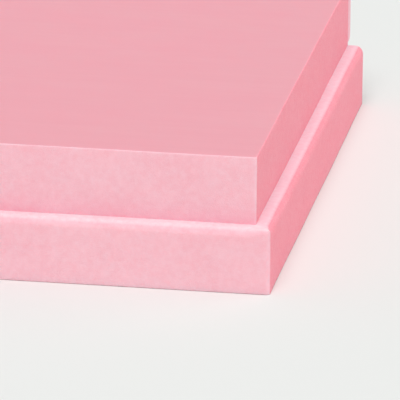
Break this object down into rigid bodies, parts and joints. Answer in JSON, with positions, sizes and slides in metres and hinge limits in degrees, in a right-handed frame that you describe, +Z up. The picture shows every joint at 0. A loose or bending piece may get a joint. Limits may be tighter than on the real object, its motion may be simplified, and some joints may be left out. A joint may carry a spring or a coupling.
{
  "type": "extruded polystyrene board",
  "caption": "Rigid pink foam insulation board with half-lap edges all round, smooth skins and rounded lap edges.",
  "frame": {"origin": "centre of the underside of the board's overall box, on the surface it lies on", "axes": "+X along the board's length, +Y across its width, +Z up through its thickness; the lower lap reaches out towards -Y and +X, the upper lap towards +Y and -X"},
  "size_m": [1.265, 0.615, 0.12],
  "materials": {
    "foam": "matte pink rigid foam: smooth extrusion skin on top and underside, finely cellular cut edges"
  },
  "bodies": {
    "root": {"foam_board": "foam"}
  },
  "joints": []
}
